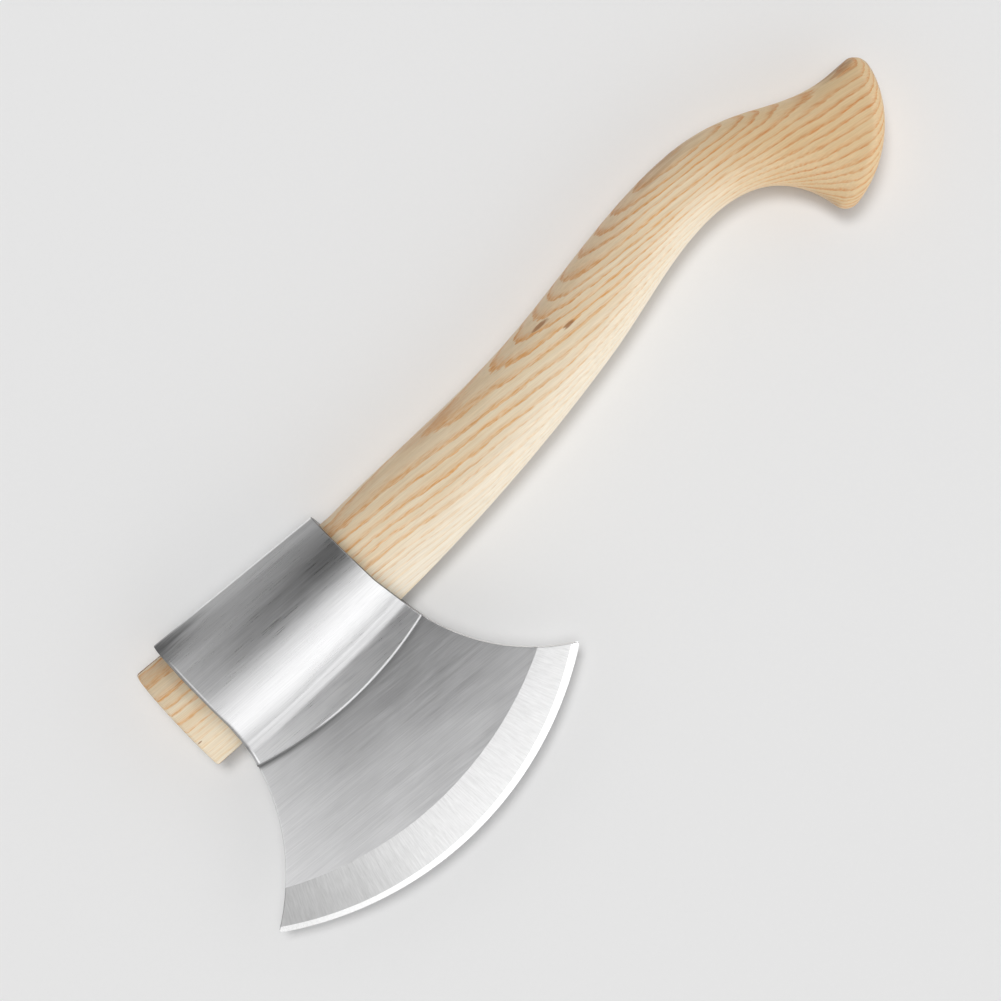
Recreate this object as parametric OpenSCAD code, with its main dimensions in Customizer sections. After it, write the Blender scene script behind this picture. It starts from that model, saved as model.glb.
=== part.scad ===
// Carving hatchet lying on its side: a fan-shaped steel blade, a folded sheet-steel eye
// sleeve lapped onto both of its cheeks, and a curved ash handle with a flared knob.
// Every shape is laid out from the middle of the eye: +X runs down the handle to the knob,
// -Y points at the cutting edge, and Z=0 is the middle of the blade's thickness.
// place() then puts the origin under the middle of the whole hatchet, with +Z up.

/* [Blade] */
// Thickness of the blade plate
blade_t = 4; // [3.5:0.1:4.5]
// Radius of the cutting edge
edge_r = 149; // [148:0.5:150]
// Width of the ground bevel at its middle
bevel_w = 19.5; // [16:0.5:22]
// Width of the narrow honed bevel along the edge
hone_w = 2.5; // [1.5:0.1:3]
// Thickness of steel where the ground bevel meets the honed one
hone_t = 1.2; // [0.8:0.1:1.6]
// Thickness of steel left at the cutting edge
edge_t = 0.2; // [0.1:0.05:0.4]
// Radius of the concave side above the toe
toe_side_r = 92.7; // [90:0.1:94]
// Radius of the concave side above the heel
heel_side_r = 81; // [79:0.1:83]

/* [Eye sleeve] */
// Thickness of the folded sheet
sheet_t = 4.5; // [4:0.1:5]
// Half the sleeve's thickness at its widest
sleeve_half_t = 17; // [16:0.5:18]
// Radius of each flank, from its widest line to the crease
flank_r = 51; // [48:1:54]
// Radius of the bend where each flank turns into its flat lap
crease_r = 10; // [8:0.5:12]
// Depth of the step that each lap sits in on its cheek
seat_depth = 0.25; // [0.1:0.05:0.5]
// Radius of the curved end of the laps
lap_r = 165.7; // [164:0.1:167]
// Chamfer along the curved end of the laps
lap_chamfer = 1.2; // [0.5:0.1:2]
// Room between the sleeve and the wood
fit_gap = 0.1; // [0.05:0.05:0.2]

/* [Handle] */
// How far the stub stands above the eye's middle
stub_x = 49; // [45:0.5:52]
// Half the handle's thickness in the middle of the grip
grip_half_t = 13.5; // [12:0.5:15]
// Half the knob's thickness
knob_half_t = 15; // [13:0.5:16]
// Roundness of the grip's section, from 2 for an ellipse to 3 for a squarer one
grip_round = 2.3; // [2:0.1:3]
// Radius of the knob's curved end face
knob_r = 52.5; // [50:0.5:55]
// Rounding between the knob's sides and its end face
rim_r = 6; // [4:0.5:8]

/* [Wedges] */
// Depth of the saw kerf in the tongue
kerf_depth = 44; // [35:1:50]
// Width of the kerf at the end of the stub, spread by its wedge
kerf_w = 5; // [4:0.5:6]
// Width of the saw's cut at the bottom of the kerf
saw_w = 1.4; // [1:0.1:2]
// Length of each steel cross wedge
cross_len = 24; // [18:1:28]
// Width of each steel cross wedge
cross_w = 16; // [12:0.5:18]
// Thickness of each steel cross wedge at its head
cross_t = 3; // [2:0.5:4]
// Distance between the two steel cross wedges
cross_gap = 18; // [14:1:22]

/* [Hidden] */
eps = 0.01;
over = 5;
fine = 180;
turns = 40;
wide_x = [-110, 120];

// Blade outline: circle centres, and the straight mouths of the eye above them.
edge_c = [2.8, 37];
toe_c = [-126.8, -14.6];
heel_c = [130.4, -8.7];
lap_c = [3.2, 125.9];
top_mouth = [[toe_c[0] + toe_side_r, toe_c[1]], [-36.7, 29]];
low_mouth = [[50.5, -22], [48, -9], [44.7, 27]];

// Ground bevel: its inner line is an arc a little flatter than the edge.
bevel_r = 151.1;
bevel_c = [3, edge_c[1] - edge_r + bevel_w + bevel_r];
hone_r = 145.3;
hone_c = [2, edge_c[1] - edge_r + hone_w + hone_r];
bevel_span = [-40, 44];
bevel_steps = 44;
root_r = 20;
run_on = 0.4;

// Sleeve section, which slides along two lines: the poll, and the crease of the laps.
lap_z = blade_t / 2 - seat_depth;
lap_top = lap_z + sheet_t;
crease_run = sqrt(pow(flank_r + crease_r, 2)
    - pow(flank_r - sleeve_half_t + lap_top + crease_r, 2));
crease_ang = asin(crease_run / (flank_r + crease_r));
function poll_y(x) = 28.8 - 0.0245 * (x + 37);
function crease_y(x) = -30.3 + 0.00065 * pow(x + 36, 2);
function apex_y(x) = crease_y(x) + crease_run;
lap_reach_y = -62;

// Tongue of the handle, which fills the sleeve from the poll to the blade.
function tongue_back_y(x) = poll_y(x) - sheet_t - fit_gap;
function tongue_belly_y(x) = -24.2 + 0.0242 * (x + stub_x);
tongue_end_x = 50;
morph_end_x = 105;
stub_lean = 1.4;
lean_start_x = -30;
stub_chamfer = 0.9;

// Side outline of the grip as [x, y, slope], first the back and then the belly.
back = [
    [tongue_end_x, tongue_back_y(tongue_end_x), 0.085],
    [150, 28.8, 0.14],
    [246, 43.3, 0],
    [285, 34.7, -0.43],
    [318, 25.3, 0],
    [330, 25.5, 0]
];
belly = [
    [tongue_end_x, tongue_belly_y(tongue_end_x), 0.07],
    [180, -2.5, 0.236],
    [247.5, 12.8, 0]
];
// Half the thickness along the handle, as [x, half thickness, slope].
tongue_half_t = sleeve_half_t - sheet_t - fit_gap;
half_ts = [
    [tongue_end_x, tongue_half_t, 0],
    [150, grip_half_t, 0],
    [246, grip_half_t - 0.8, 0],
    [330, knob_half_t, 0]
];

// Knob: the end face is an arc about knob_c between two directions.
knob_c = [280, 30];
knob_a = [-76.5, -13];
rim_c_r = knob_r - rim_r;
wall_a = atan(rim_r / rim_c_r);
knob_tip = knob_c + rim_c_r * [cos(knob_a[1] + wall_a), sin(knob_a[1] + wall_a)];
knob_beak = knob_c + rim_c_r * [cos(knob_a[0] - wall_a), sin(knob_a[0] - wall_a)];
knob_mid_a = (knob_a[0] + knob_a[1]) / 2;
knob_half_a = (knob_a[1] - knob_a[0]) / 2;
knob_end_half_t = curve(half_ts, knob_tip[0]);
half_bow = knob_half_a + wall_a;
beak_pull = 21;
belly_pull = 19;

cross_mid_y = 1;
cross_point_t = 0.6;

// Where the whole hatchet's box lies about the middle of the eye.
toe_tip = meet(edge_c, edge_r, toe_c, toe_side_r, -1);
box_x = [toe_tip[0], knob_c[0] + rim_c_r * cos(knob_a[1]) + rim_r];
box_y = [edge_c[1] - edge_r, back[2][1]];

// One of the two points where two circles cross: side is 1 or -1.
function meet(c1, r1, c2, r2, side) =
    let (
        span = c2 - c1,
        dist = norm(span),
        along = (r1 * r1 - r2 * r2 + dist * dist) / (2 * dist),
        off = sqrt(r1 * r1 - along * along)
    )
    c1 + along * span / dist + side * off * [span[1], -span[0]] / dist;

// Smooth curve through [x, y, slope] knots.
function curve(knots, x, i = 0) =
    i < len(knots) - 2 && x > knots[i + 1][0] ? curve(knots, x, i + 1) :
    let (
        p = knots[i],
        q = knots[i + 1],
        h = q[0] - p[0],
        t = (x - p[0]) / h
    )
    (2 * t * t * t - 3 * t * t + 1) * p[1] + (t * t * t - 2 * t * t + t) * h * p[2]
    + (3 * t * t - 2 * t * t * t) * q[1] + (t * t * t - t * t) * h * q[2];

function bezier(p0, p1, p2, p3, t) =
    pow(1 - t, 3) * p0 + 3 * t * pow(1 - t, 2) * p1 + 3 * t * t * (1 - t) * p2 + pow(t, 3) * p3;

function smooth(t) = let (u = min(1, max(0, t))) u * u * (3 - 2 * u);
function mix(a, b, t) = (1 - t) * a + t * b;
function arc_point(c, r, a) = [c[0] + r * cos(a), c[1] + r * sin(a)];

// Solid through a list of rings, each with the same number of points, with flat ends.
module skin(rings) {
    count = len(rings[0]);
    last = (len(rings) - 1) * count;
    polyhedron(
        points = [for (ring = rings) each ring],
        faces = concat(
            [[for (j = [0:count - 1]) j]],
            [for (i = [0:len(rings) - 2], j = [0:count - 1])
                let (a = i * count + j, b = i * count + (j + 1) % count)
                each [[a, a + count, b], [b, a + count, b + count]]],
            [[for (j = [count - 1:-1:0]) last + j]]
        )
    );
}

module place() {
    translate([-(box_x[0] + box_x[1]) / 2, -(box_y[0] + box_y[1]) / 2, sleeve_half_t])
        children();
}

// ---- Blade ----

// Corners of an area below the blade, up to a height on the heel's side and one on the toe's.
function wide_base(heel_y, toe_y) =
    let (low = edge_c[1] - edge_r - over)
    [[wide_x[1], heel_y], [wide_x[1], low], [wide_x[0], low], [wide_x[0], toe_y]];

// Everything between the two concave sides, from the poll to beyond the cutting edge.
module head_outline() {
    difference() {
        polygon(concat(
            wide_base(low_mouth[0][1], top_mouth[0][1]),
            [top_mouth[0], top_mouth[1], top_mouth[1] + [0, over]],
            [low_mouth[2] + [0, over], low_mouth[2], low_mouth[1], low_mouth[0]]
        ));
        translate(toe_c)
            circle(toe_side_r, $fn = fine);
        translate(heel_c)
            circle(heel_side_r, $fn = fine);
    }
}

// The blade's own part of that outline, up to the narrow side of the tongue.
module blade_outline() {
    intersection() {
        head_outline();
        polygon(wide_base(tongue_belly_y(wide_x[1]) - fit_gap, tongue_belly_y(wide_x[0]) - fit_gap));
    }
}

// Section of the ground blade, from deep inside the eye out to the cutting edge.
// Each ground face runs on above the cheek, so the cheek's own face ends at the bevel's line.
function ground_ring(t) =
    let (
        a = mix(bevel_span[0], bevel_span[1], t) - 90,
        root = arc_point(edge_c, root_r, a),
        inner = arc_point(bevel_c, bevel_r, a),
        hone = arc_point(hone_c, hone_r, a),
        edge = arc_point(edge_c, edge_r, a),
        above = inner + (inner - hone) * run_on,
        above_z = blade_t / 2 + (blade_t - hone_t) / 2 * run_on,
        half = [
            [root[0], root[1], blade_t],
            [above[0], above[1], above_z],
            [hone[0], hone[1], hone_t / 2],
            [edge[0], edge[1], edge_t / 2]
        ]
    )
    concat(half, [for (i = [3:-1:0]) [half[i][0], half[i][1], -half[i][2]]]);

module blade() {
    color("silver")
        place()
            intersection() {
                skin([for (i = [0:bevel_steps]) ground_ring(i / bevel_steps)]);
                union() {
                    linear_extrude(blade_t - 2 * seat_depth, center = true)
                        blade_outline();
                    linear_extrude(blade_t, center = true)
                        difference() {
                            blade_outline();
                            translate(lap_c)
                                circle(lap_r + fit_gap, $fn = fine);
                        }
                }
            }
}

// ---- Eye sleeve ----

// Half of the sheet's section at x: lap, crease, flank and poll, inset from its outer face.
function sheet_half(x, inset) =
    let (
        crease_c = [crease_y(x), lap_top + crease_r],
        flank_c = [apex_y(x), sleeve_half_t - flank_r],
        poll_run = poll_y(x) - apex_y(x) - inset
    )
    concat(
        [[lap_reach_y, lap_top - inset]],
        [for (j = [0:5]) arc_point(crease_c, crease_r + inset, -90 + crease_ang * j / 5)],
        [for (j = [1:9]) arc_point(flank_c, flank_r - inset, 90 + crease_ang * (1 - j / 9))],
        [for (a = [10:10:90])
            [apex_y(x) + poll_run * sin(a), (sleeve_half_t - inset) * cos(a)]]
    );

function flipped(half) = [for (i = [len(half) - 2:-1:0]) [half[i][0], -half[i][1]]];

function sleeve_ring(x) =
    let (
        outer = sheet_half(x, 0),
        inner = sheet_half(x, sheet_t),
        loop = concat(outer, flipped(outer)),
        hole = concat(inner, flipped(inner))
    )
    [
        for (p = loop) [x, p[0], p[1]],
        for (i = [len(hole) - 1:-1:0]) [x, hole[i][0], hole[i][1]]
    ];

// The ring of steel that the chamfer takes off the end of one lap.
module lap_bevel() {
    translate([lap_c[0], lap_c[1], 0])
        rotate([0, 0, 180])
            rotate_extrude($fn = fine)
                polygon([
                    [lap_r - lap_chamfer, lap_top + eps],
                    [lap_r + eps, lap_top - lap_chamfer],
                    [lap_r + eps, lap_top + eps]
                ]);
}

module eye_sleeve() {
    color("lightgray")
        place()
            difference() {
                intersection() {
                    skin([for (x = [-45:9:63]) sleeve_ring(x)]);
                    linear_extrude(2 * sleeve_half_t + over, center = true)
                        intersection() {
                            head_outline();
                            translate(lap_c)
                                circle(lap_r, $fn = fine);
                        }
                }
                lap_bevel();
                mirror([0, 0, 1])
                    lap_bevel();
            }
}

// ---- Handle ----

// Half the height inside the sleeve, at a distance from its widest line towards the blade.
function eye_half_z(d) =
    let (tangent_d = crease_run * (flank_r - sheet_t) / (flank_r + crease_r))
    d < tangent_d
    ? sleeve_half_t - flank_r + sqrt(pow(flank_r - sheet_t, 2) - d * d)
    : lap_top + crease_r - sqrt(pow(crease_r + sheet_t, 2) - pow(crease_run - d, 2));

// Sections are lists of [s, z], where s runs from -1 at the belly to 1 at the back.
function tongue_section(x) =
    let (
        back_y = tongue_back_y(x),
        belly_y = tongue_belly_y(x),
        mid = (back_y + belly_y) / 2,
        half = (back_y - belly_y) / 2,
        apex = apex_y(x)
    )
    [for (i = [0:turns - 1])
        let (
            c = cos(360 * i / turns),
            s = sin(360 * i / turns),
            y = c > 0 ? apex + (back_y - apex) * c : apex + (apex - belly_y) * c,
            z = c > 0 ? tongue_half_t * s : sign(s) * (eye_half_z(apex - y) - fit_gap)
        )
        [(y - mid) / half, abs(s) < eps ? 0 : z]];

function oval_section(half_t) =
    [for (i = [0:turns - 1])
        let (c = cos(360 * i / turns), s = sin(360 * i / turns))
        [sign(c) * pow(abs(c), 2 / grip_round), half_t * sign(s) * pow(abs(s), 2 / grip_round)]];

// A ring with its back at one point and its belly at another, bowed outwards by an angle.
function ring(section, back_p, belly_p, bow = eps) =
    let (
        mid = (back_p + belly_p) / 2,
        up = (back_p - belly_p) / 2,
        out = [up[1], -up[0]]
    )
    [for (q = section)
        let (
            a = q[0] * bow,
            p = mid + (up * sin(a) + out * (cos(a) - cos(bow))) / sin(bow)
        )
        [p[0], p[1], q[1]]];

// Stub and tongue, from its sawn end, which leans a little, to the lower mouth.
function tongue_ring(x, inset = 0) =
    let (
        lean = stub_lean * max(0, lean_start_x - x) / (stub_x + lean_start_x),
        back_x = x - lean / 2,
        belly_x = x + lean / 2
    )
    ring(
        [for (q = tongue_section(x)) [q[0], q[1] * (1 - inset / tongue_half_t)]],
        [back_x, tongue_back_y(x) - inset],
        [belly_x, tongue_belly_y(x) + inset]
    );

tongue_rings = concat(
    [tongue_ring(-stub_x, stub_chamfer), tongue_ring(-stub_x + stub_chamfer)],
    [for (x = [-38:11:tongue_end_x]) tongue_ring(x)]
);

function grip_ring(x) =
    let (
        tear = tongue_section(tongue_end_x),
        oval = oval_section(curve(half_ts, x)),
        t = smooth((x - tongue_end_x) / (morph_end_x - tongue_end_x))
    )
    ring(mix(tear, oval, t), [x, curve(back, x)], [x, curve(belly, x)]);

knob_start = [belly[2][0], belly[2][1]];
grip_rings = [for (x = [tongue_end_x + 8:8:knob_start[0] - 4]) grip_ring(x)];

// The knob fans out from a straight ring to one bowed like the end face.
function knob_ring(t) =
    let (
        back_x = mix(knob_start[0], knob_tip[0], t),
        back_p = [back_x, mix(curve(back, back_x), knob_tip[1], pow(t, 4))],
        belly_p = bezier(
            knob_start,
            knob_start + [belly_pull, 0],
            knob_beak - beak_pull * arc_point([0, 0], 1, knob_a[0]),
            knob_beak,
            t
        )
    )
    ring(
        oval_section(curve(half_ts, back_x)),
        back_p,
        belly_p,
        max(eps, half_bow * pow(t, 1.5))
    );

// Ring round the end of the knob, half a span of the arc to each side of its middle.
function face_ring(r, half_span, half_t) =
    [for (q = oval_section(half_t))
        let (p = arc_point(knob_c, r, knob_mid_a + q[0] * half_span))
        [p[0], p[1], q[1]]];

// The rim's rounding turns through the angle a, from the sides to the end face.
function rim_ring(a) =
    let (out_r = rim_c_r + rim_r * sin(a))
    face_ring(
        out_r,
        knob_half_a + atan(rim_r * cos(a) / out_r),
        knob_end_half_t - rim_r * (1 - cos(a))
    );

knob_rings = [for (t = [0:1 / 14:1 - eps]) knob_ring(t)];
rim_rings = [for (a = [0:18:90]) rim_ring(a)];
face_rings = [for (f = [0.75:-0.25:0.25])
    face_ring(knob_r, f * knob_half_a, f * (knob_end_half_t - rim_r))
];

// A wedge that points along +X: thick in Z at the stub's end, thin at its point, and
// carried on a little past the stub, where the tongue's own shape ends it.
module wedge_shape(len, head_t, point_t, width) {
    past_t = head_t + (head_t - point_t) * over / len;
    rotate([90, 0, 0])
        linear_extrude(width, center = true)
            polygon([
                [-over, past_t / 2],
                [len, point_t / 2],
                [len, -point_t / 2],
                [-over, -past_t / 2]
            ]);
}

module kerf(len, gap) {
    translate([-stub_x, 0, 0])
        wedge_shape(len, kerf_w + gap, saw_w + gap, 4 * sleeve_half_t);
}

module cross_wedge_pair(gap) {
    for (y = [-cross_gap / 2, cross_gap / 2])
        translate([-stub_x, y + cross_mid_y, 0])
            rotate([90, 0, 0])
                wedge_shape(cross_len + gap, cross_t + gap, cross_point_t + gap, cross_w + gap);
}

module handle() {
    color("burlywood")
        place()
            difference() {
                skin(concat(tongue_rings, grip_rings, knob_rings, rim_rings, face_rings));
                kerf(kerf_depth + saw_w, fit_gap);
                cross_wedge_pair(fit_gap);
            }
}

// ---- Wedges ----

module kerf_wedge() {
    color("peru")
        place()
            difference() {
                intersection() {
                    skin(tongue_rings);
                    kerf(kerf_depth, 0);
                }
                cross_wedge_pair(fit_gap);
            }
}

module cross_wedges() {
    color("gray")
        place()
            intersection() {
                skin(tongue_rings);
                cross_wedge_pair(0);
            }
}

blade();
eye_sleeve();
handle();
kerf_wedge();
cross_wedges();
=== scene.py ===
"""Looks of the carving hatchet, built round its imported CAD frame.

Shapes are laid out in millimetres from the middle of the eye: +X runs down the handle to the knob,
-Y points at the cutting edge, and Z=0 is the middle of the blade. to_frame() carries them into the
frame that the CAD parts lie in.
"""

import math

import bmesh
import bpy
import numpy as np
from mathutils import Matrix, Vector


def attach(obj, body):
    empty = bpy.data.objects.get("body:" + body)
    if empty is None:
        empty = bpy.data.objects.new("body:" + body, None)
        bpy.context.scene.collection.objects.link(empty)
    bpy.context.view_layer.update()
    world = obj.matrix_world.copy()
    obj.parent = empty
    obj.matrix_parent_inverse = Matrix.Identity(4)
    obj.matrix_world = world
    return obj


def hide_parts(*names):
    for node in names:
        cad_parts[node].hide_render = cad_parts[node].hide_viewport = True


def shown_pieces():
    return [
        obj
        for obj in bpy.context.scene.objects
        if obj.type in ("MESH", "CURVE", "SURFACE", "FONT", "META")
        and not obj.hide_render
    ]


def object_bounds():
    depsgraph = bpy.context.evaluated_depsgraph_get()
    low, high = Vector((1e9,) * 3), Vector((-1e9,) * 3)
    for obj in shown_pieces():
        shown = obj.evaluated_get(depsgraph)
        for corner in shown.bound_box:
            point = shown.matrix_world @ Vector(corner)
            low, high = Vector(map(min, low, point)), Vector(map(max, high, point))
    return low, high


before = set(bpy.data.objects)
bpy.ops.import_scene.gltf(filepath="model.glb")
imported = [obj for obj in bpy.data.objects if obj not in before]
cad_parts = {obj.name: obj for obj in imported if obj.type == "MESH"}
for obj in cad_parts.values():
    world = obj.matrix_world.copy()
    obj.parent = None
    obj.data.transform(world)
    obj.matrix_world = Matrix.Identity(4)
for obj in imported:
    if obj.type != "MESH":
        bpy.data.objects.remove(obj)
cad_low, cad_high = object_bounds()

MM = 0.001

# ----------------------------------------
# Driving sizes, in millimetres and degrees
# ----------------------------------------

BLADE_HALF_T = 2.0
EDGE_C, EDGE_R = np.array([2.8, 37.0]), 149.0
TOE_C, TOE_R = np.array([-126.8, -14.6]), 92.7
HEEL_C, HEEL_R = np.array([130.4, -8.7]), 81.0
LAP_C, LAP_R = np.array([3.2, 125.9]), 165.7
BEVEL_W, BEVEL_R = 19.5, 151.1
BEVEL_C = np.array([3.0, EDGE_C[1] - EDGE_R + BEVEL_W + BEVEL_R])
HONE_W, HONE_R = 2.5, 145.3
HONE_C = np.array([2.0, EDGE_C[1] - EDGE_R + HONE_W + HONE_R])
HONE_HALF_T, EDGE_HALF_T = 0.6, 0.1
TIP_ROUND = 1.0
SIDE_ROUND = 0.45

SHEET_T = 4.5
SLEEVE_HALF_T = (cad_high.z - cad_low.z) / 2 / MM
FLANK_R, CREASE_R = 51.0, 10.0
SEAT_DEPTH, FIT_GAP = 0.25, 0.1
LAP_CHAMFER = 1.0
LAP_Z = BLADE_HALF_T - SEAT_DEPTH
LAP_TOP = LAP_Z + SHEET_T
CREASE_RUN = math.sqrt(
    (FLANK_R + CREASE_R) ** 2 - (FLANK_R - SLEEVE_HALF_T + LAP_TOP + CREASE_R) ** 2
)
CREASE_ANG = math.degrees(math.asin(CREASE_RUN / (FLANK_R + CREASE_R)))
CREASE_X, CREASE_Y, CREASE_CURVE = -36.0, -30.3, 0.00065
POLL_X, POLL_Y, POLL_SLOPE = -37.0, 28.8, -0.0245
TOP_MOUTH_X = (TOE_C[0] + TOE_R, -36.7)
TOP_MOUTH_Y = (TOE_C[1], 29.0)
LOW_MOUTH_X = (50.5, 48.0, 44.7)
LOW_MOUTH_Y = (-22.0, -9.0, 27.0)
TOP_RIM_R, POLL_RIM_R, LOW_RIM_R, INNER_RIM_R = 1.7, 0.35, 0.5, 0.4
GUARD = 0.12  # width of the strips of faces that keep creases crisp

STUB_X, STUB_LEAN, LEAN_START_X, STUB_ROUND = 49.0, 1.4, -30.0, 1.3
TONGUE_END_X, MORPH_END_X = 50.0, 105.0
TONGUE_HALF_T = SLEEVE_HALF_T - SHEET_T - FIT_GAP
BELLY_Y, BELLY_SLOPE = -24.2, 0.0242  # of the tongue, from the stub's end
BELLY_ROUND, BELLY_ROUND_POWER = 0.3, 2.5  # how the tongue's thin side is rounded
GRIP_ROUND = 2.3  # power of the grip's oval: 2 is an ellipse
KNOB_C, KNOB_A = np.array([280.0, 30.0]), (-76.5, -13.0)
KNOB_R, RIM_R, KNOB_HALF_T = 52.5, 6.0, 15.0
RIM_C_R = KNOB_R - RIM_R
WALL_A = math.degrees(math.atan(RIM_R / RIM_C_R))
BEAK_PULL, BELLY_PULL = 21.0, 19.0

KERF_DEPTH, KERF_W, SAW_W = 44.0, 5.0, 1.4
CROSS_LEN, CROSS_W, CROSS_T, CROSS_POINT_T = 24.0, 16.0, 3.0, 0.6
CROSS_GAP, CROSS_MID_Y = 18.0, 1.0
WEDGE_GAP = 0.16

# The eye's middle in the frame: the knob reaches the box's +X side, the edge its -Y side.
KNOB_REACH = KNOB_C[0] + RIM_C_R * math.cos(math.radians(KNOB_A[1])) + RIM_R
EYE = Vector(
    (
        cad_high.x - KNOB_REACH * MM,
        cad_low.y + (EDGE_R - EDGE_C[1]) * MM,
        (cad_low.z + cad_high.z) / 2,
    )
)


def to_frame(points):
    """Points in millimetres from the eye's middle, as metres in the frame."""
    return np.asarray(points, float) * MM + np.array(EYE)


# ----------------------------------------
# Curves
# ----------------------------------------


def mix(a, b, t):
    return (1 - t) * a + t * b


def smooth(t):
    u = min(1.0, max(0.0, t))
    return u * u * (3 - 2 * u)


def arc_point(centre, r, degrees):
    a = math.radians(degrees)
    return np.array([centre[0] + r * math.cos(a), centre[1] + r * math.sin(a)])


def hermite(knots, x):
    """Smooth curve through (x, y, slope) knots."""
    i = 0
    while i < len(knots) - 2 and x > knots[i + 1][0]:
        i += 1
    (px, py, ps), (qx, qy, qs) = knots[i], knots[i + 1]
    h = qx - px
    t = (x - px) / h
    return (
        (2 * t**3 - 3 * t**2 + 1) * py
        + (t**3 - 2 * t**2 + t) * h * ps
        + (3 * t**2 - 2 * t**3) * qy
        + (t**3 - t**2) * h * qs
    )


def bezier(p0, p1, p2, p3, t):
    u = 1 - t
    return u**3 * p0 + 3 * t * u**2 * p1 + 3 * t**2 * u * p2 + t**3 * p3


def meet(c1, r1, c2, r2, side):
    """One of the two points where two circles cross: side is 1 or -1."""
    span = c2 - c1
    dist = np.linalg.norm(span)
    along = (r1**2 - r2**2 + dist**2) / (2 * dist)
    off = math.sqrt(r1**2 - along**2)
    return c1 + along * span / dist + side * off * np.array([span[1], -span[0]]) / dist


def solve(f, low, high, steps=50):
    """Where f falls through zero between low and high."""
    for _ in range(steps):
        mid = (low + high) / 2
        if f(mid) > 0:
            low = mid
        else:
            high = mid
    return (low + high) / 2


# ----------------------------------------
# Meshes and pieces
# ----------------------------------------

SHARP = 30  # edges that turn by more degrees than this are kept sharp


def make_object(name, points, faces, materials, face_slots=None, sharp=SHARP):
    """A smooth-shaded mesh object from points in millimetres, with edges sharper than an angle kept."""
    mesh = bpy.data.meshes.new(name)
    mesh.from_pydata([tuple(p) for p in to_frame(points)], [], faces)
    for m in materials:
        mesh.materials.append(m)
    if face_slots is not None:
        mesh.polygons.foreach_set("material_index", face_slots)
    work = bmesh.new()
    work.from_mesh(mesh)
    bmesh.ops.recalc_face_normals(work, faces=work.faces)
    work.to_mesh(mesh)
    work.free()
    obj = bpy.data.objects.new(name, mesh)
    bpy.context.scene.collection.objects.link(obj)
    shade(obj, sharp)
    return obj


def shade(obj, sharp=SHARP):
    obj.data.shade_smooth()
    obj.data.set_sharp_from_angle(angle=math.radians(sharp))


def tube_faces(rings):
    """The faces between each ring of points and the next."""
    count = len(rings[0])
    faces = []
    for i in range(len(rings) - 1):
        for j in range(count):
            a, b = i * count + j, i * count + (j + 1) % count
            faces.append([a, b, b + count, a + count])
    return faces


def skin(name, rings, materials):
    """A closed solid through rings that all have the same number of points."""
    count = len(rings[0])
    faces = [list(range(count))] + tube_faces(rings)
    last = (len(rings) - 1) * count
    faces.append([last + j for j in reversed(range(count))])
    return make_object(name, np.concatenate(rings), faces, materials)


def cut(obj, other, operation):
    """Applies a boolean of obj with other, and removes other."""
    step = obj.modifiers.new("cut", "BOOLEAN")
    step.operation = operation
    step.solver = "EXACT"
    step.object = other
    graph = bpy.context.evaluated_depsgraph_get()
    mesh = bpy.data.meshes.new_from_object(obj.evaluated_get(graph))
    obj.modifiers.clear()
    obj.data = mesh
    bpy.data.objects.remove(other)
    shade(obj)


def ride_and_replace(obj, node):
    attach(obj, "root")
    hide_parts(node)


# ----------------------------------------
# Material graphs
# ----------------------------------------


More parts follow.
